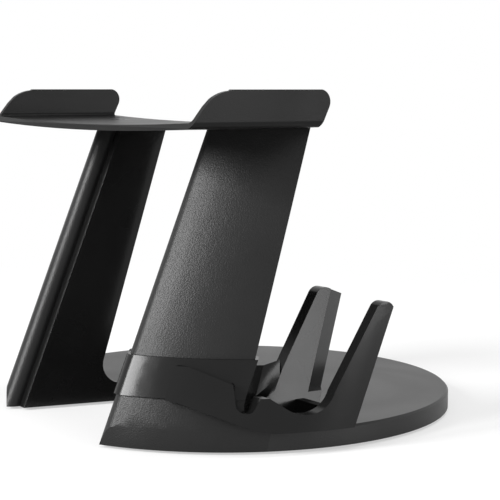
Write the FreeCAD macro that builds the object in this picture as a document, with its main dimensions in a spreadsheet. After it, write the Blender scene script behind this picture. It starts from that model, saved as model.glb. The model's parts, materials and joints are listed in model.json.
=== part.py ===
import FreeCAD, Part
import math
import os
import Sketcher

# Headset stand: round base, two leaning legs, a headset tray and a clip-on controller holder.
# Millimetres, +Z up. Origin on the ground under the centre of the round base.
# The headset looks towards -Y. The controller holder sits on the +X leg.

V = FreeCAD.Vector
os.makedirs("parts", exist_ok=True)
doc = FreeCAD.newDocument("headset_stand")
sheet = doc.addObject("Spreadsheet::Sheet", "Sizes")
sizes = {}


class Dim:
    """A size that knows its number and the sheet expression it comes from."""

    def __init__(self, value, text):
        self.value = value
        self.text = text

    def join(self, other, sign, number):
        return Dim(number, "(" + self.text + " " + sign + " " + other.text + ")")

    def __add__(self, other):
        other = dim(other)
        return self.join(other, "+", self.value + other.value)

    def __sub__(self, other):
        other = dim(other)
        return self.join(other, "-", self.value - other.value)

    def __mul__(self, other):
        other = dim(other)
        return self.join(other, "*", self.value * other.value)

    def __truediv__(self, other):
        other = dim(other)
        return self.join(other, "/", self.value / other.value)

    def __neg__(self):
        return dim(-1) * self

    __radd__ = __add__
    __rmul__ = __mul__

    def __rsub__(self, other):
        return dim(other) - self


def dim(value):
    if isinstance(value, Dim):
        return value
    return Dim(float(value), repr(float(value)))


def root(square):
    return Dim(math.sqrt(square.value), "sqrt(" + square.text + ")")


def leg_of(long_side, other):
    """Second short side of a right triangle."""
    return root(dim(long_side) * long_side - dim(other) * other)


def size(name, value):
    row = len(sizes) + 1
    sheet.set("A" + str(row), name)
    sheet.set("B" + str(row), str(value))
    sheet.setAlias("B" + str(row), name)
    sizes[name] = Dim(float(value), "Sizes." + name)
    return sizes[name]


# Round base
base_radius = size("base_radius", 90)
pad_height = size("pad_height", 1)
base_height = size("base_height", 7.2)
base_skin = size("base_skin", 2.4)
rim_wall = size("rim_wall", 2.4)
rim_bevel = size("rim_bevel", 0.8)
rib_width = size("rib_width", 1.6)
rib_pitch = size("rib_pitch", 30)

# Legs and glossy inner skin
lean = size("lean", 0.4142)
rear_slope = size("rear_slope", 0.3352)
flare = size("flare", 0.224)
nose_radius = size("nose_radius", 5)
foot_fillet = size("foot_fillet", 7.6)
skin_wall = size("skin_wall", 2.4)
notch_corner = size("notch_corner", 8)
seam_gap = size("seam_gap", 0.15)
seam_rake = size("seam_rake", 1.3)

# Headset tray
tray_level = size("tray_level", 113)
tray_half = size("tray_half", 78)
tray_bow = size("tray_bow", 1690)
tray_wall = size("tray_wall", 2.2)
ear_height = size("ear_height", 15.2)
ear_bend = size("ear_bend", 2.6)

# Fasteners and pads
screw_shaft = size("screw_shaft", 3)
screw_head = size("screw_head", 6)
head_height = size("head_height", 1.2)
slot_width = size("slot_width", 0.8)
tray_screw_length = size("tray_screw_length", 9)
foot_screw_length = size("foot_screw_length", 13)
pad_diameter = size("pad_diameter", 14)
tongue_height = size("tongue_height", 2.4)

# Controller holder
holder_proud = size("holder_proud", 4)
holder_wall = size("holder_wall", 4.3)
band_wall = size("band_wall", 1.2)
inner_wall = size("inner_wall", 5.5)
inner_lean = size("inner_lean", 0.17)
bridge_wall = size("bridge_wall", 3.5)
bridge_height = size("bridge_height", 5)
doc.recompute()

base_top = pad_height + base_height
rise = lean * (tray_level - base_top)
drop = lean * base_height
margin = tray_half * 0.2


def scaled(length):
    """Length drawn for a 90 mm base; it follows the base when that changes."""
    return base_radius * (length / 90)


def plan(x, y):
    return scaled(x), scaled(y)


def lifted(y, z):
    """Side view point; the height counts from the top of the base."""
    return scaled(y), base_top + scaled(z)


foot_seam = scaled(36)
nose_edge = scaled(44.18)
lip_front = scaled(73.6)
groove_depth = scaled(2.2)
wall_station = scaled(50)
wall_half = scaled(27)
notch_rear = scaled(26)
rear_foot = scaled(46.6)
holder_radius = base_radius + holder_proud
inner_face = scaled(62.5)


# Sketch and feature helpers

def origin_plane(body, role):
    for item in body.Origin.OriginFeatures:
        if item.Role == role:
            return item
    raise RuntimeError("no plane " + role)


def new_body(name):
    body = doc.addObject("PartDesign::Body", name)
    body.Label = name
    return body


def new_sketch(body, name, role, height=None, shift=None):
    """Sketch on an origin plane of the body, lifted by height and slid by shift in its plane."""
    sketch = body.newObject("Sketcher::SketchObject", name)
    sketch.AttachmentSupport = [(origin_plane(body, role), "")]
    sketch.MapMode = "FlatFace"
    if height is not None:
        sketch.setExpression("AttachmentOffset.Base.z", dim(height).text)
    if shift is not None:
        sketch.setExpression("AttachmentOffset.Base.y", dim(shift).text)
    return sketch


def fix_point(sketch, index, end, point):
    for kind, value in (("DistanceX", dim(point[0])), ("DistanceY", dim(point[1]))):
        number = sketch.addConstraint(Sketcher.Constraint(kind, -1, 1, index, end, value.value))
        sketch.setExpression("Constraints[" + str(number) + "]", value.text)


def outline(sketch, points):
    """Closed outline. A point is (x, y) or (x, y, via, radius) for an arc that leads to the next one."""
    count = len(points)
    first = sketch.GeometryCount
    for i, point in enumerate(points):
        nxt = points[(i + 1) % count]
        start = V(dim(point[0]).value, dim(point[1]).value, 0)
        end = V(dim(nxt[0]).value, dim(nxt[1]).value, 0)
        if len(point) == 2:
            sketch.addGeometry(Part.LineSegment(start, end), False)
        else:
            via = V(dim(point[2][0]).value, dim(point[2][1]).value, 0)
            if (via - start).cross(end - via).z < 0:
                start, end = end, start
            sketch.addGeometry(Part.Arc(start, via, end), False)
    ends = []
    for i, point in enumerate(points):
        curve = sketch.Geometry[first + i]
        start = V(dim(point[0]).value, dim(point[1]).value, 0)
        forward = (curve.StartPoint - start).Length < (curve.EndPoint - start).Length
        ends.append((1, 2) if forward else (2, 1))
    for i in range(count):
        after = (i + 1) % count
        sketch.addConstraint(Sketcher.Constraint(
            "Coincident", first + i, ends[i][1], first + after, ends[after][0]))
    for i, point in enumerate(points):
        fix_point(sketch, first + i, ends[i][0], point)
        if len(point) == 4:
            number = sketch.addConstraint(Sketcher.Constraint("Radius", first + i, dim(point[3]).value))
            sketch.setExpression("Constraints[" + str(number) + "]", dim(point[3]).text)


def bent(start, via, end):
    """Arc given by three points; its radius is worked out from them."""
    a = V(dim(start[0]).value, dim(start[1]).value, 0)
    b = V(dim(via[0]).value, dim(via[1]).value, 0)
    c = V(dim(end[0]).value, dim(end[1]).value, 0)
    return (start[0], start[1], via, Part.Circle(a, b, c).Radius)


def circle(sketch, x, y, diameter):
    index = sketch.addGeometry(Part.Circle(V(dim(x).value, dim(y).value, 0), V(0, 0, 1),
                                           dim(diameter).value / 2), False)
    fix_point(sketch, index, 3, (x, y))
    number = sketch.addConstraint(Sketcher.Constraint("Diameter", index, dim(diameter).value))
    sketch.setExpression("Constraints[" + str(number) + "]", dim(diameter).text)


def rectangle(sketch, x1, y1, x2, y2):
    outline(sketch, [(x1, y1), (x2, y1), (x2, y2), (x1, y2)])


def pad(body, sketch, length, slant=None):
    doc.recompute()
    feature = body.newObject("PartDesign::Pad", sketch.Name + "_pad")
    feature.Profile = sketch
    feature.setExpression("Length", dim(length).text)
    if slant is not None:
        feature.UseCustomVector = True
        feature.AlongSketchNormal = True
        feature.Direction = V(slant[0].value, slant[1].value, 1)
        feature.setExpression("Direction.x", slant[0].text)
        feature.setExpression("Direction.y", slant[1].text)
    sketch.Visibility = False
    doc.recompute()
    return feature


def pocket(body, sketch, length=None, reverse=False):
    """Cut of the sketch; through all on both sides when no length is given."""
    doc.recompute()
    before = body.Shape.Volume
    feature = body.newObject("PartDesign::Pocket", sketch.Name + "_cut")
    feature.Profile = sketch
    if length is None:
        feature.Type = 1
        feature.Midplane = True
    else:
        feature.setExpression("Length", dim(length).text)
        feature.Reversed = reverse
    sketch.Visibility = False
    doc.recompute()
    if feature.Shape.Volume >= before - 0.01:
        raise RuntimeError(feature.Name + " removes nothing")
    return feature


def bevel_edges(body, name, width, wanted):
    """Bevels the edges whose box the test accepts."""
    base = body.Tip
    edges = []
    for i, edge in enumerate(body.Shape.Edges):
        if wanted(edge.BoundBox):
            edges.append("Edge" + str(i + 1))
    if not edges:
        raise RuntimeError(name + " finds no edge")
    feature = body.newObject("PartDesign::Chamfer", name)
    feature.Base = (base, edges)
    feature.setExpression("Size", width.text)
    doc.recompute()
    return feature


# Shared outlines


def wall_x(y, offset=0):
    """Half width of the flared cut-out at a plan station, moved outwards by an offset."""
    steep = root(flare * flare + 1)
    return wall_half - flare * (wall_station + y) + dim(offset) * steep


def nose_centre():
    share = dim(1) - nose_radius / base_radius
    return nose_edge * share, leg_of(base_radius, nose_edge) * share


def corner(offset=0):
    """Rounded rear corner of the cut-out: centre, radius, and where it meets the flared wall."""
    radius = notch_corner + offset
    steep = root(flare * flare + 1)
    cy = -(notch_rear + notch_corner)
    cx = wall_x(cy) - notch_corner * steep
    return cx, cy, radius, cx + radius / steep, cy + radius * flare / steep


def corner_via(cx, cy, radius, side):
    turn = (math.pi / 2 + math.atan(flare.value)) / 2
    return side * (cx.value + radius.value * math.cos(turn)), cy.value + radius.value * math.sin(turn)


def leg_plan(sketch, side):
    """Plan of one leg: round nose, rim arc, and the wall along the inner skin."""
    nx, ny = nose_centre()
    rear = scaled(33.5)
    edge_y = leg_of(base_radius, nose_edge)
    nose_inner = nx - nose_radius
    step = lip_front - groove_depth
    outline(sketch, [
        (side * nose_inner, -ny, (side * (nx.value - nose_radius.value * 0.6),
                                  -ny.value - nose_radius.value * 0.8), nose_radius),
        (side * nose_edge, -edge_y, (side * base_radius.value * 0.72,
                                     -base_radius.value * math.sqrt(1 - 0.72 ** 2)), base_radius),
        (side * leg_of(base_radius, rear), -rear),
        (side * wall_x(-rear, skin_wall), -rear),
        (side * wall_x(-step, skin_wall), -step),
        (side * nose_inner, -step),
    ])


def skin_plan(sketch):
    """Plan of the inner skin: a flared U band around the cut-out with front lips."""
    front = -lip_front
    step = front + groove_depth - seam_gap
    lip = nose_centre()[0] - nose_radius - seam_gap
    near = corner()
    far = corner(skin_wall)
    right = [
        (wall_x(front), front),
        (lip, front),
        (lip, step),
        (wall_x(step, skin_wall), step),
    ]
    points = [
        (near[0], near[1] + near[2], corner_via(*near[:3], 1), near[2]),
        (near[3], near[4]),
        *right,
        (far[3], far[4], corner_via(*far[:3], 1), far[2]),
        (far[0], far[1] + far[2]),
        (-far[0], far[1] + far[2], corner_via(*far[:3], -1), far[2]),
        (-far[3], far[4]),
        *[(-x, y) for x, y in reversed(right)],
        (-near[3], near[4], corner_via(*near[:3], -1), near[2]),
        (-near[0], near[1] + near[2]),
    ]
    outline(sketch, points)


def notch_plan(sketch):
    """Outer outline of the skin's U, open to the front of the base."""
    front = -scaled(100)
    cx, cy, radius, meet_x, meet_y = corner(skin_wall)
    outline(sketch, [
        (cx, cy + radius, corner_via(cx, cy, radius, 1), radius),
        (meet_x, meet_y),
        (wall_x(front, skin_wall), front),
        (-wall_x(front, skin_wall), front),
        (-meet_x, meet_y, corner_via(cx, cy, radius, -1), radius),
        (-cx, cy + radius),
    ])


def rear_profile(sketch):
    """Space behind the legs in side view, with the round foot between leg and base."""
    angle = math.atan2(1, rear_slope.value)
    reach = foot_fillet * (1 / math.tan(angle / 2))
    toe = (reach - rear_foot, base_top)
    heel = (reach * math.cos(angle) - rear_foot, base_top + reach * math.sin(angle))
    centre = V(toe[0].value, base_top.value + foot_fillet.value, 0)
    middle = V((toe[0].value + heel[0].value) / 2, (toe[1].value + heel[1].value) / 2, 0) - centre
    via = centre + middle.normalize() * foot_fillet.value
    top = tray_level + margin
    outline(sketch, [
        (toe[0], toe[1], (via.x, via.y), foot_fillet),
        heel,
        (rear_slope * (top - base_top) - rear_foot, top),
        (base_radius, top),
        (base_radius, base_top),
    ])


def above_tray(sketch):
    """Everything above the bowed underside of the tray, in front view."""
    half = tray_half + margin
    level = tray_level + tray_bow - leg_of(tray_bow, half)
    top = tray_level + margin * 3
    outline(sketch, [
        (-half, level, (0, tray_level), tray_bow),
        (half, level),
        (half, top),
        (-half, top),
    ])


def seam_profile(sketch, behind):
    """Side view of the foot behind its raked seam, or of the base in front of it."""
    far = scaled(20) if behind else scaled(110)
    outline(sketch, [
        (-foot_seam, base_top),
        (-foot_seam - seam_rake, pad_height),
        (-far, pad_height),
        (-far, base_top),
    ])


def foot_trim(body, name):
    """Keeps the foot inside the base's rim and in front of the seam."""
    ring = new_sketch(body, name + "_rim", "XY_Plane", pad_height)
    circle(ring, 0, 0, base_radius * 2)
    circle(ring, 0, 0, base_radius * 3)
    pocket(body, ring, base_height, True)


def rear_trim(body, name):
    profile = new_sketch(body, name + "_rear", "YZ_Plane")
    rear_profile(profile)
    pocket(body, profile)
    profile = new_sketch(body, name + "_top", "XZ_Plane")
    above_tray(profile)
    pocket(body, profile)


FOOT_SCREWS = (plan(53, -57),)
TRAY_SCREWS = (plan(42, -68), plan(56, -63))
REAR_PADS = (plan(0, 0), plan(30, 60), plan(-30, 60))
FRONT_PADS = (plan(60, -40), plan(-60, -40))
SLANT = (dim(0), lean)


def tongue(sketch, side):
    """Flat tongue of the base that reaches under one leg."""
    rear = -(foot_seam - rim_wall)
    outline(sketch, [
        (side * scaled(36), rear),
        (side * scaled(36), -scaled(68)),
        (side * scaled(48), -scaled(68)),
        (side * scaled(68), -scaled(50)),
        (side * scaled(68), rear),
    ])


# Round base

def make_base(notch_tool):
    body = new_body("base_blank")
    plate = new_sketch(body, "base_plan", "XY_Plane", pad_height)
    circle(plate, 0, 0, base_radius * 2)
    pad(body, plate, base_height)
    front = new_sketch(body, "base_front", "YZ_Plane")
    seam_profile(front, False)
    pocket(body, front)
    bevel_edges(body, "base_bevel", rim_bevel,
                lambda box: box.ZMin > base_top.value - 0.01 and box.YMax > 0.9 * base_radius.value)

    hollow = new_sketch(body, "base_hollow", "XY_Plane", pad_height)
    inside = base_radius - rim_wall
    gap = skin_wall + rim_wall
    cx, cy, radius, meet_x, meet_y = corner(gap)
    seam = foot_seam - rim_wall
    outline(hollow, [
        (leg_of(inside, seam), -seam, (0, inside), inside),
        (-leg_of(inside, seam), -seam),
        (-wall_x(-seam, gap), -seam),
        (-meet_x, meet_y, corner_via(cx, cy, radius, -1), radius),
        (-cx, cy + radius),
        (cx, cy + radius, corner_via(cx, cy, radius, 1), radius),
        (meet_x, meet_y),
        (wall_x(-seam, gap), -seam),
    ])
    pocket(body, hollow, base_height - base_skin, True)

    rib_top = base_height - base_skin / 2
    rib_end = base_radius - rim_wall / 3
    ribs = new_sketch(body, "base_ribs", "XY_Plane", pad_height)
    for step in range(3):
        y = rib_pitch * step
        reach = leg_of(rib_end, rib_pitch * abs(step) + rib_width)
        rectangle(ribs, -reach, y, reach, y + rib_width)
    pad(body, ribs, rib_top)
    cross = new_sketch(body, "base_cross_ribs", "XY_Plane", pad_height)
    for step in range(-2, 3):
        x = rib_pitch * step
        reach = leg_of(rib_end, rib_pitch * abs(step) + rib_width)
        start = -(foot_seam - rim_wall / 2) if abs(step) > 1 else -(notch_rear - skin_wall - rim_wall)
        rectangle(cross, x - rib_width / 2, start, x + rib_width / 2, reach)
    pad(body, cross, rib_top)

    seats = new_sketch(body, "pad_seats", "XY_Plane", pad_height)
    for x, y in REAR_PADS:
        circle(seats, x, y, pad_diameter + rib_width)
    pad(body, seats, rib_top)
    for side in (1, -1):
        tab = new_sketch(body, "tongue_" + ("left" if side > 0 else "right"), "XY_Plane", pad_height)
        tongue(tab, side)
        pad(body, tab, tongue_height)
    holes = new_sketch(body, "tongue_holes", "XY_Plane", pad_height)
    sinks = new_sketch(body, "tongue_sinks", "XY_Plane", pad_height)
    for side in (1, -1):
        for x, y in FOOT_SCREWS:
            circle(holes, side * x, y, screw_shaft)
            circle(sinks, side * x, y, screw_head)
    pocket(body, holes, tongue_height, True)
    pocket(body, sinks, head_height, True)

    done = doc.addObject("Part::Cut", "base_disc")
    done.Label = "base_disc"
    done.Base = body
    done.Tool = notch_tool
    return done


def make_notch_tool():
    """Leaning prism that opens the base for the inner skin."""
    body = new_body("notch_tool")
    sketch = new_sketch(body, "notch", "XY_Plane", dim(0), -lean * base_top)
    notch_plan(sketch)
    pad(body, sketch, base_top + base_height, SLANT)
    return body


# Leg

def make_leg(name, side):
    body = new_body(name)
    stages = (("_foot", pad_height, base_top), ("_shaft", base_top, tray_level),
              ("_head", tray_level, tray_level + margin))
    for tag, low, high in stages:
        sketch = new_sketch(body, name + tag, "XY_Plane", low, lean * (low - base_top))
        leg_plan(sketch, side)
        pad(body, sketch, high - low, SLANT)
    foot_trim(body, name)
    rear_trim(body, name)
    seam = new_sketch(body, name + "_seam", "YZ_Plane")
    seam_profile(seam, True)
    pocket(body, seam)

    seat = new_sketch(body, name + "_tongue_seat", "XY_Plane", pad_height)
    tongue(seat, side)
    pocket(body, seat, tongue_height, True)
    holes = new_sketch(body, name + "_foot_holes", "XY_Plane", pad_height)
    for x, y in FOOT_SCREWS:
        circle(holes, side * x, y, screw_shaft)
    pocket(body, holes, foot_screw_length, True)
    holes = new_sketch(body, name + "_top_holes", "XY_Plane", tray_level + tray_wall)
    for x, y in TRAY_SCREWS:
        circle(holes, side * x, y + rise, screw_shaft)
    pocket(body, holes, tray_screw_length)
    return body


# Glossy inner skin

def make_skin():
    body = new_body("inner_skin")
    foot = new_sketch(body, "skin_plan", "XY_Plane", pad_height, -drop)
    skin_plan(foot)
    pad(body, foot, tray_level + margin - pad_height, SLANT)
    rear_trim(body, "skin")
    return body


# Headset tray

def tray_section(sketch):
    """Bowed plate with an upright ear at each side, in front view."""
    bend_x = tray_half - ear_bend
    under = tray_level + tray_bow - leg_of(tray_bow, bend_x)
    inside = tray_half - tray_wall
    inner_bend = ear_bend - tray_wall / 2
    inner_x = inside - inner_bend
    over_bow = tray_bow - tray_wall
    over = tray_level + tray_bow - leg_of(over_bow, inner_x)
    ear_top = tray_level + ear_height
    k = math.sqrt(0.5)
    out_via = (bend_x.value + ear_bend.value * k, (under + ear_bend).value - ear_bend.value * k)
    in_via = (inner_x.value + inner_bend.value * k, over.value + inner_bend.value * (1 - k))
    outline(sketch, [
        (-bend_x, under, (0, tray_level), tray_bow),
        (bend_x, under, out_via, ear_bend),
        (tray_half, under + ear_bend),
        (tray_half, ear_top),
        (inside, ear_top),
        (inside, over + inner_bend, in_via, inner_bend),
        (inner_x, over, (0, tray_level + tray_wall), over_bow),
        (-inner_x, over, (-in_via[0], in_via[1]), inner_bend),
        (-inside, over + inner_bend),
        (-inside, ear_top),
        (-tray_half, ear_top),
        (-tray_half, under + ear_bend, (-out_via[0], out_via[1]), ear_bend),
    ])


def tray_side(sketch):
    """Side view of plate and ears, with the space around them."""
    def spot(y, share):
        return scaled(y) + rise, tray_level + ear_height * share

    below = spot(0, -0.3)[1]
    front = spot(-109.7, 0)[0]
    rear = spot(-54.3, 0)[0]
    outline(sketch, [spot(-150, -1), spot(10, -1), spot(10, 2), spot(-150, 2)])
    outline(sketch, [
        (front, below),
        (front, spot(0, 0.13)[1]),
        spot(-103.6, 0.62),
        bent(spot(-100.9, 0.79), spot(-98.0, 0.895), spot(-92.9, 0.974)),
        spot(-92.9, 0.974),
        spot(-90.9, 1.1),
        spot(-59.4, 1.1),
        bent(spot(-56.0, 0.997), spot(-51.3, 0.875), spot(-51.0, 0.586)),
        spot(-51.0, 0.586),
        (rear, spot(0, 0.145)[1]),
        (rear, below),
    ])


def screw_seat(x):
    """Height of a screw head's underside, sunk in the bowed tray."""
    return tray_level + tray_wall - head_height + tray_bow - leg_of(tray_bow, x - screw_head / 2)


def make_tray():
    body = new_body("tray")
    section = new_sketch(body, "tray_section", "XZ_Plane", -rise)
    tray_section(section)
    pad(body, section, scaled(140))
    side = new_sketch(body, "tray_side", "YZ_Plane")
    tray_side(side)
    pocket(body, side)
    for tag, sign in (("left", 1), ("right", -1)):
        for i, (x, y) in enumerate(TRAY_SCREWS):
            name = "tray_hole_" + tag + str(i)
            hole = new_sketch(body, name, "XY_Plane", tray_level - tray_wall)
            circle(hole, sign * x, y + rise, screw_shaft)
            pocket(body, hole, tray_wall * 4, True)
            sink = new_sketch(body, name + "_sink", "XY_Plane", screw_seat(x))
            circle(sink, sign * x, y + rise, screw_head)
            pocket(body, sink, tray_wall * 2, True)
    return body


# Screws and pads

def screw(name, x, y, z, up, shaft_length):
    """Flat-headed slotted screw; the head's underside is at z and the shaft points up or down."""
    head = doc.addObject("Part::Cylinder", name + "_head")
    head.setExpression("Radius", (screw_head / 2).text)
    head.setExpression("Height", head_height.text)
    shaft = doc.addObject("Part::Cylinder", name + "_shaft")
    shaft.setExpression("Radius", (screw_shaft / 2).text)
    shaft.setExpression("Height", dim(shaft_length).text)
    slot = doc.addObject("Part::Box", name + "_slot")
    slot.setExpression("Length", (screw_head * 0.7).text)
    slot.setExpression("Width", slot_width.text)
    slot.setExpression("Height", head_height.text)
    outside = dim(z) - head_height * 1.5 if up else dim(z) + head_height / 2
    places = (
        (head, x, y, dim(z) - head_height if up else z),
        (shaft, x, y, z if up else dim(z) - shaft_length),
        (slot, x - screw_head * 0.35, y - slot_width / 2, outside),
    )
    for item, px, py, pz in places:
        item.setExpression("Placement.Base.x", dim(px).text)
        item.setExpression("Placement.Base.y", dim(py).text)
        item.setExpression("Placement.Base.z", dim(pz).text)
    whole = doc.addObject("Part::Fuse", name + "_solid")
    whole.Base = head
    whole.Tool = shaft
    done = doc.addObject("Part::Cut", name)
    done.Base = whole
    done.Tool = slot
    return done


def group_of(name, items):
    group = doc.addObject("Part::Compound", name)
    group.Label = name
    group.Links = items


def make_screws():
    tray_set = []
    foot_set = []
    for tag, sign in (("left", 1), ("right", -1)):
        for i, (x, y) in enumerate(TRAY_SCREWS):
            seat = screw_seat(x)
            length = tray_screw_length - tray_wall + seat - tray_level
            tray_set.append(screw("tray_screw_" + tag + str(i), sign * x, y + rise, seat, False, length))
        for i, (x, y) in enumerate(FOOT_SCREWS):
            length = foot_screw_length - head_height
            foot_set.append(screw("foot_screw_" + tag + str(i), sign * x, y, pad_height + head_height,
                                  True, length))
    group_of("tray_screws", tray_set)
    group_of("foot_screws", foot_set)


def make_pads():
    items = []
    for i, (x, y) in enumerate(REAR_PADS + FRONT_PADS):
        disc = doc.addObject("Part::Cylinder", "pad_" + str(i))
        disc.setExpression("Radius", (pad_diameter / 2).text)
        disc.setExpression("Height", pad_height.text)
        disc.setExpression("Placement.Base.x", x.text)
        disc.setExpression("Placement.Base.y", y.text)
        items.append(disc)
    group_of("rubber_pads", items)


# Controller holder

def ring_point(radius, degrees):
    angle = math.radians(degrees)
    return dim(radius) * math.cos(angle), dim(radius) * math.sin(angle)


def via_of(point):
    return point[0].value, point[1].value


def sector(sketch, inside, outside, first, last):
    """Piece of a ring between two angles."""
    middle = (first + last) / 2
    outline(sketch, [
        (*ring_point(outside, first), via_of(ring_point(outside, middle)), outside),
        ring_point(outside, last),
        (*ring_point(inside, last), via_of(ring_point(inside, middle)), inside),
        ring_point(inside, first),
    ])


def outer_profile(sketch):
    """Side view of the outer wall: arm, hook notch, grip trough, front prong and foot line."""
    outline(sketch, [lifted(-100, -12.2), lifted(60, -12.2), lifted(60, 81.8), lifted(-100, 81.8)])
    outline(sketch, [
        lifted(-68.5, 11.4),
        lifted(-62.6, 22.9),
        lifted(-59.0, 22.8),
        lifted(-47.9, 17.0),
        bent(lifted(-48.1, 9.4), lifted(-45.4, 7.1), lifted(-42.2, 9.2)),
        lifted(-42.2, 9.2),
        lifted(-40.2, 12.2),
        lifted(-37.5, 12.2),
        bent(lifted(-32.0, 8.1), lifted(-24.6, 6.0), lifted(-14.8, 13.4)),
        lifted(-14.8, 13.4),
        bent(lifted(3.1, 42.2), lifted(6.0, 44.2), lifted(9.5, 42.9)),
        lifted(9.5, 42.9),
        lifted(14.0, 35.8),
        lifted(2.0, -1.2),
        lifted(-37.7, -1.2),
        lifted(-37.7, 0.1),
        lifted(-44.8, 1.7),
        lifted(-64.0, 10.5),
    ])


def inner_profile(sketch):
    """Side view of the space above the inner wall, in front of and behind its prong."""
    outline(sketch, [
        bent(lifted(-33.0, 10.8), lifted(-22.6, 9.8), lifted(-15.1, 16.3)),
        lifted(-15.1, 16.3),
        lifted(-10.7, 22.4),
        bent(lifted(4.1, 42.6), lifted(7.0, 44.8), lifted(11.4, 44.0)),
        lifted(11.4, 44.0),
        lifted(40.0, 35.0),
        lifted(40.0, 66.8),
        lifted(-33.0, 66.8),
    ])


def band_plan(sketch):
    """Clip band around the leg: inner hook, round nose, outer side and rear corner."""
    nx, ny = nose_centre()
    grip = base_radius + band_wall
    bend = nose_radius + band_wall
    share = grip / base_radius
    hook_y = scaled(-66)
    lip_x = wall_x(-lip_front)
    front = lip_front + band_wall
    outline(sketch, [
        (nx - leg_of(bend, front - ny), -front,
         (nx.value - bend.value * 0.6, -ny.value - bend.value * 0.8), bend),
        (nose_edge * share, -leg_of(base_radius, nose_edge) * share, via_of(ring_point(grip, -46)), grip),
        ring_point(grip, -32),
        plan(72, -44.5),
        plan(55, -44.5),
        plan(55, -50),
        plan(66, -55),
        plan(45, -72),
        (wall_x(hook_y, band_wall), hook_y),
        (wall_x(hook_y, -band_wall), hook_y),
        (lip_x - band_wall, -lip_front + band_wall),
        (lip_x, -front),
    ])


def make_saddle():
    """Hollow-topped bridge from the arm's end to the inner wall."""
    stations = (
        (8.6, (76.0, -55.0), 17.0, (70.0, -52.0), 17.8),
        (1.4, (69.5, -43.0), 11.4, (62.0, -36.5), 19.8),
        (0, (62.0, -32.0), 8.4, (55.6, -28.0), 18.0),
        (0, (61.0, -23.0), 14.2, (55.4, -21.0), 19.3),
    )
    sections = []
    for i, (low, near, near_top, rear, rear_top) in enumerate(stations):
        wire = doc.addObject("Part::Polygon", "saddle_section_" + str(i))
        corners = ((near, low), (near, near_top), (rear, rear_top), (rear, low))
        nodes = []
        for (x, y), z in corners:
            up = scaled(z)
            nodes.append(V(scaled(x).value, (scaled(y) + lean * up).value, (base_top + up).value))
        wire.Nodes = nodes
        wire.Close = True
        sections.append(wire)
    saddle = doc.addObject("Part::Loft", "saddle")
    saddle.Sections = sections
    saddle.Solid = True
    saddle.Ruled = True
    return saddle


def make_holder(leg, skin):
    reach = scaled(48)
    body = new_body("holder_blank")
    outer = new_sketch(body, "outer_wall", "XY_Plane", base_top)
    sector(outer, holder_radius - holder_wall, holder_radius, -34, -4.5)
    pad(body, outer, reach, SLANT)
    arm = new_sketch(body, "arm", "XY_Plane", base_top)
    sector(arm, base_radius - band_wall, holder_radius, -49.6, -33.5)
    pad(body, arm, reach, SLANT)
    side = new_sketch(body, "outer_profile", "YZ_Plane")
    outer_profile(side)
    pocket(body, side)

    inward = (-inner_lean, lean)
    far = inner_face - inner_wall
    start = -scaled(27)
    foot = new_sketch(body, "inner_foot", "XY_Plane", base_top)
    outline(foot, [(inner_face, start), (inner_face, -scaled(0.5)), (far, scaled(3)), (far, start)])
    pad(body, foot, scaled(7), inward)
    prong = new_sketch(body, "inner_prong", "XY_Plane", base_top)
    outline(prong, [(inner_face, start), (inner_face, -scaled(7.2)), (far, scaled(3)), (far, start)])
    pad(body, prong, reach + base_skin, inward)
    cut = new_sketch(body, "inner_profile", "YZ_Plane", scaled(75))
    inner_profile(cut)
    pocket(body, cut, scaled(60))

    bridge = new_sketch(body, "bridge", "XY_Plane", base_top)
    rectangle(bridge, inner_face - inner_wall / 2, -scaled(12), base_radius, bridge_wall - scaled(12))
    pad(body, bridge, bridge_height, SLANT)

    band_low = scaled(11.2)
    band = new_sketch(body, "band", "XY_Plane", base_top + band_low, lean * band_low)
    band_plan(band)
    pad(body, band, scaled(13.9), SLANT)

    saddle = make_saddle()
    joined = doc.addObject("Part::Fuse", "holder_joined")
    joined.Base = body
    joined.Tool = saddle
    clear = doc.addObject("Part::Cut", "holder_clear_of_leg")
    clear.Base = joined
    clear.Tool = leg
    done = doc.addObject("Part::Cut", "controller_holder")
    done.Label = "controller_holder"
    done.Base = clear
    done.Tool = skin
    return done


make_base(make_notch_tool())
left = make_leg("leg_left", 1)
make_leg("leg_right", -1)
skin = make_skin()
make_tray()
make_screws()
make_pads()
make_holder(left, skin)
doc.recompute()

NODES = ("base_disc", "leg_left", "leg_right", "inner_skin", "tray", "tray_screws", "foot_screws",
         "rubber_pads", "controller_holder")
for item in doc.Objects:
    bad = [word for word in item.State if word in ("Invalid", "Error")]
    if bad:
        raise RuntimeError(item.Label + " is " + " ".join(bad))
shapes = {}
for name in NODES:
    found = [item for item in doc.Objects if item.Label == name]
    shape = found[0].Shape
    if shape.isNull() or not shape.isValid():
        raise RuntimeError(name + " has no valid shape")
    shapes[name] = shape
for name, shape in shapes.items():
    shape.exportStep("parts/" + name + ".step")
    box = shape.BoundBox
    print(name, "solids", len(shape.Solids), "volume", round(shape.Volume),
          "box", [round(v, 1) for v in (box.XMin, box.YMin, box.ZMin, box.XMax, box.YMax, box.ZMax)])
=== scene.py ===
import json
import math

import bpy
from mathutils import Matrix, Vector

# Headset stand in black plastic, seen from the front right at desk height.
# Metres, in the row frame: +Z up, the headset looks towards -Y,
# and the controller holder is on the +X leg.

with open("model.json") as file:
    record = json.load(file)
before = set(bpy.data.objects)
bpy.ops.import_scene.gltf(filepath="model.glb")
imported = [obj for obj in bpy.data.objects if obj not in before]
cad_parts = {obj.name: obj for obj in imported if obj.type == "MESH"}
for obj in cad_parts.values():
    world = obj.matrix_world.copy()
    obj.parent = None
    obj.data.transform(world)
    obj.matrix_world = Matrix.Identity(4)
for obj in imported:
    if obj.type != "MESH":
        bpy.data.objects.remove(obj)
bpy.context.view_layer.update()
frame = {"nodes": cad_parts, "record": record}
SLOT_OF = {part["node"]: part["material_slot"] for part in frame["record"]["subparts"]}
MM = 0.001
WHITE = (1, 1, 1, 1)


# Shader helpers

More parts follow.
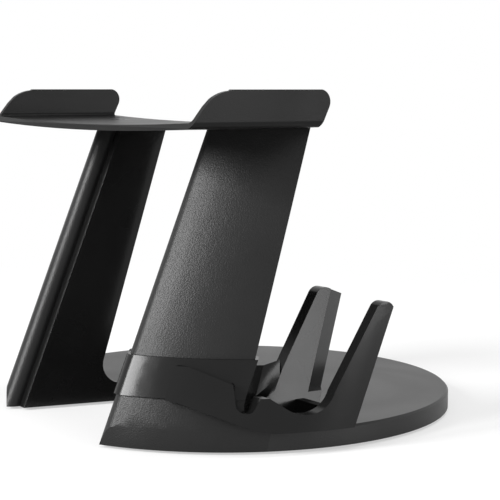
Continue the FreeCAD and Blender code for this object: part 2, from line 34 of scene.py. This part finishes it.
def new_material(name):
    material = bpy.data.materials.new(name)
    material.use_nodes = True
    tree = material.node_tree
    return material, tree, tree.nodes["Principled BSDF"]


def noise(tree, scale, detail, distortion=0.0):
    """Noise over object coordinates; its scale is in cycles per metre."""
    place = tree.nodes.new("ShaderNodeTexCoord")
    texture = tree.nodes.new("ShaderNodeTexNoise")
    texture.inputs["Scale"].default_value = scale
    texture.inputs["Detail"].default_value = detail
    texture.inputs["Distortion"].default_value = distortion
    tree.links.new(place.outputs["Object"], texture.inputs["Vector"])
    return texture.outputs["Fac"]


def spread(tree, source, low, high, from_low=0.3, from_high=0.7):
    """Maps a texture to a range of values."""
    ranger = tree.nodes.new("ShaderNodeMapRange")
    ranger.inputs["From Min"].default_value = from_low
    ranger.inputs["From Max"].default_value = from_high
    ranger.inputs["To Min"].default_value = low
    ranger.inputs["To Max"].default_value = high
    tree.links.new(source, ranger.inputs["Value"])
    return ranger.outputs["Result"]


def bump(tree, height, depth, below=None):
    """Bump of a real depth in metres, laid over another one."""
    node = tree.nodes.new("ShaderNodeBump")
    node.inputs["Strength"].default_value = 1.0
    node.inputs["Distance"].default_value = depth
    tree.links.new(height, node.inputs["Height"])
    if below is not None:
        tree.links.new(below, node.inputs["Normal"])
    return node.outputs["Normal"]


def tint(tree, source, dark, light):
    """Grey or nearly grey colour between two close shades."""
    mix = tree.nodes.new("ShaderNodeMix")
    mix.data_type = "RGBA"
    mix.inputs["A"].default_value = (*dark, 1)
    mix.inputs["B"].default_value = (*light, 1)
    tree.links.new(spread(tree, source, 0, 1), mix.inputs["Factor"])
    return mix.outputs["Result"]


def mixed(tree, factor, first, second):
    """Two shaders mixed by a factor."""
    mix = tree.nodes.new("ShaderNodeMixShader")
    tree.links.new(factor, mix.inputs["Fac"])
    tree.links.new(first, mix.inputs[1])
    tree.links.new(second, mix.inputs[2])
    return mix.outputs[0]


# Materials

CLOUD_SCALE = 45
CLOUD_DEPTH = 0.02 * MM
CLOUD_DARK, CLOUD_LIGHT = 0.88, 1.14
SMEAR_SCALE = 12
SMEAR_DOWN, SMEAR_UP = 0.04, 0.05


def plastic(name, shade, roughness, grain_size, grain_depth, specular):
    """Moulded black plastic: spark-eroded grain, slow gloss changes, faint cloudiness."""
    material, tree, shader = new_material(name)
    grain = noise(tree, 1 / grain_size, 3)
    cloud = noise(tree, CLOUD_SCALE, 4, 0.4)
    smear = noise(tree, SMEAR_SCALE, 3, 1.2)
    dark = (shade * CLOUD_DARK,) * 3
    light = (shade * CLOUD_LIGHT,) * 3
    gloss = spread(tree, smear, roughness - SMEAR_DOWN, roughness + SMEAR_UP)
    fine = bump(tree, grain, grain_depth)
    tree.links.new(tint(tree, cloud, dark, light), shader.inputs["Base Color"])
    tree.links.new(gloss, shader.inputs["Roughness"])
    tree.links.new(bump(tree, cloud, CLOUD_DEPTH, fine), shader.inputs["Normal"])
    shader.inputs["Specular IOR Level"].default_value = specular
    return material


def worn(name, texture, dark, light, smooth, rough, depth, metallic=0.0):
    """Material whose colour, roughness and bump follow one noise: scale, detail, distortion."""
    material, tree, shader = new_material(name)
    pattern = noise(tree, *texture)
    shader.inputs["Metallic"].default_value = metallic
    tree.links.new(tint(tree, pattern, dark, light), shader.inputs["Base Color"])
    tree.links.new(spread(tree, pattern, smooth, rough), shader.inputs["Roughness"])
    tree.links.new(bump(tree, pattern, depth), shader.inputs["Normal"])
    return material


# Shade, roughness, grain size, grain depth and specular level of each plastic
PLASTICS = {
    "base_plastic": (0.012, 0.38, 0.5 * MM, 0.05 * MM, 0.22),
    "leg_plastic": (0.009, 0.36, 0.5 * MM, 0.10 * MM, 0.2),
    "gloss_skin": (0.006, 0.13, 3.0 * MM, 0.005 * MM, 0.22),
    "tray_plastic": (0.007, 0.36, 0.5 * MM, 0.04 * MM, 0.08),
    "holder_plastic": (0.006, 0.2, 0.8 * MM, 0.008 * MM, 0.18),
}
MATERIALS = {name: plastic(name, *looks) for name, looks in PLASTICS.items()}
MATERIALS["screw_steel"] = worn("screw_steel", (900, 4, 2.0), (0.30, 0.30, 0.31),
                                (0.42, 0.42, 0.43), 0.28, 0.42, 0.02 * MM, metallic=1.0)
MATERIALS["pad_rubber"] = worn("pad_rubber", (1500, 5), (0.025, 0.025, 0.025),
                               (0.04, 0.04, 0.04), 0.75, 0.9, 0.05 * MM)


# CAD nodes: materials and softened edges

# Width of the rounded edges of each node, in millimetres
EDGE_WIDTH = {
    "base_disc": 0.25,
    "leg_left": 0.5,
    "leg_right": 0.5,
    "inner_skin": 0.2,
    "tray": 0.35,
    "controller_holder": 0.45,
    "tray_screws": 0.1,
    "foot_screws": 0.1,
    "rubber_pads": 0.2,
}
EDGE_ANGLE = math.radians(28)
EDGE_SEGMENTS = 3
WELD_DISTANCE = 0.002 * MM
NORMAL_WEIGHT = 60


def soften(obj, width):
    """Joins the mesh's split corners and rounds its sharp edges by a small radius."""
    weld = obj.modifiers.new("weld", "WELD")
    weld.merge_threshold = WELD_DISTANCE
    bevel = obj.modifiers.new("edges", "BEVEL")
    bevel.width = width * MM
    bevel.segments = EDGE_SEGMENTS
    bevel.limit_method = "ANGLE"
    bevel.angle_limit = EDGE_ANGLE
    bevel.use_clamp_overlap = True
    normals = obj.modifiers.new("normals", "WEIGHTED_NORMAL")
    normals.mode = "FACE_AREA_WITH_ANGLE"
    normals.weight = NORMAL_WEIGHT


for name, obj in frame["nodes"].items():
    obj.data.materials.clear()
    obj.data.materials.append(MATERIALS[SLOT_OF[name]])
    for face in obj.data.polygons:
        face.use_smooth = True
    soften(obj, EDGE_WIDTH[name])


# Floor, world and lamps

FLOOR_SIZE = 12
FADE_START, FADE_END = 0.12, 0.5
FADE_LOW, FADE_HIGH = 0.5, 1.0
SOFT_LIGHT = 0.45
BACKGROUND = 1.0


def make_floor():
    """Pale floor that keeps the stand's shadow and turns white away from it."""
    bpy.ops.mesh.primitive_plane_add(size=FLOOR_SIZE, location=(0, 0, 0))
    floor = bpy.context.object
    floor.name = "floor"
    material, tree, shader = new_material("floor_white")
    shader.inputs["Base Color"].default_value = (0.9, 0.9, 0.9, 1)
    shader.inputs["Roughness"].default_value = 0.9
    shader.inputs["Specular IOR Level"].default_value = 0.1
    place = tree.nodes.new("ShaderNodeTexCoord")
    reach = tree.nodes.new("ShaderNodeVectorMath")
    reach.operation = "LENGTH"
    tree.links.new(place.outputs["Object"], reach.inputs[0])
    fade = spread(tree, reach.outputs["Value"], FADE_LOW, FADE_HIGH, FADE_START, FADE_END)
    path = tree.nodes.new("ShaderNodeLightPath")
    share = tree.nodes.new("ShaderNodeMath")
    share.operation = "MULTIPLY"
    tree.links.new(fade, share.inputs[0])
    tree.links.new(path.outputs["Is Camera Ray"], share.inputs[1])
    white = tree.nodes.new("ShaderNodeEmission")
    white.inputs["Color"].default_value = WHITE
    white.inputs["Strength"].default_value = BACKGROUND
    surface = mixed(tree, share.outputs[0], shader.outputs["BSDF"], white.outputs[0])
    tree.links.new(surface, tree.nodes["Material Output"].inputs["Surface"])
    floor.data.materials.append(material)


def make_world():
    """White where the camera, a gloss or a glass looks at it, a soft light for the rest."""
    world = bpy.data.worlds.new("studio")
    bpy.context.scene.world = world
    world.use_nodes = True
    tree = world.node_tree
    soft = tree.nodes["Background"]
    soft.inputs["Color"].default_value = WHITE
    soft.inputs["Strength"].default_value = SOFT_LIGHT
    white = tree.nodes.new("ShaderNodeBackground")
    white.inputs["Color"].default_value = WHITE
    white.inputs["Strength"].default_value = BACKGROUND
    path = tree.nodes.new("ShaderNodeLightPath")
    seen = path.outputs["Is Camera Ray"]
    for kind in ("Is Glossy Ray", "Is Transmission Ray"):
        either = tree.nodes.new("ShaderNodeMath")
        either.operation = "MAXIMUM"
        tree.links.new(seen, either.inputs[0])
        tree.links.new(path.outputs[kind], either.inputs[1])
        seen = either.outputs[0]
    surface = mixed(tree, seen, soft.outputs[0], white.outputs[0])
    tree.links.new(surface, tree.nodes["World Output"].inputs["Surface"])


LAMP_AIM = Vector((0, -0.02, 0.07))


def lamp(name, direction, distance, width, height, power):
    """Softbox that looks at the middle of the stand from a direction."""
    light = bpy.data.lights.new(name, "AREA")
    light.shape = "RECTANGLE"
    light.size = width
    light.size_y = height
    light.energy = power
    obj = bpy.data.objects.new(name, light)
    way = Vector(direction).normalized()
    obj.location = LAMP_AIM + way * distance
    obj.rotation_euler = (-way).to_track_quat("-Z", "Y").to_euler()
    bpy.context.scene.collection.objects.link(obj)


make_floor()
make_world()
lamp("key", (-0.12, -0.92, 0.40), distance=1.6, width=0.5, height=0.7, power=38)
lamp("side", (0.93, 0.48, 0.06), distance=1.4, width=0.55, height=0.5, power=9)
lamp("top", (0.1, 0.15, 1.0), distance=1.5, width=0.6, height=0.6, power=8)


# Camera at the photograph's place

CAMERA_AT = Vector((503.9, -331.8, 128.5)) * MM
CAMERA_TURN = math.radians(55.763)
CAMERA_PITCH = math.radians(6.191)
FOCAL_PIXELS = 1488.1
FRAME_PIXELS = 500
SENSOR_WIDTH = 36

view_way = Vector((-math.sin(CAMERA_TURN) * math.cos(CAMERA_PITCH),
                   math.cos(CAMERA_TURN) * math.cos(CAMERA_PITCH),
                   -math.sin(CAMERA_PITCH)))
camera_data = bpy.data.cameras.new("camera")
camera_data.sensor_width = SENSOR_WIDTH
camera_data.lens = FOCAL_PIXELS * SENSOR_WIDTH / FRAME_PIXELS
camera_data.clip_start = 0.02
camera = bpy.data.objects.new("camera", camera_data)
camera.location = CAMERA_AT
camera.rotation_euler = view_way.to_track_quat("-Z", "Y").to_euler()
bpy.context.scene.collection.objects.link(camera)
bpy.context.scene.camera = camera
bpy.context.scene.view_settings.view_transform = "Standard"
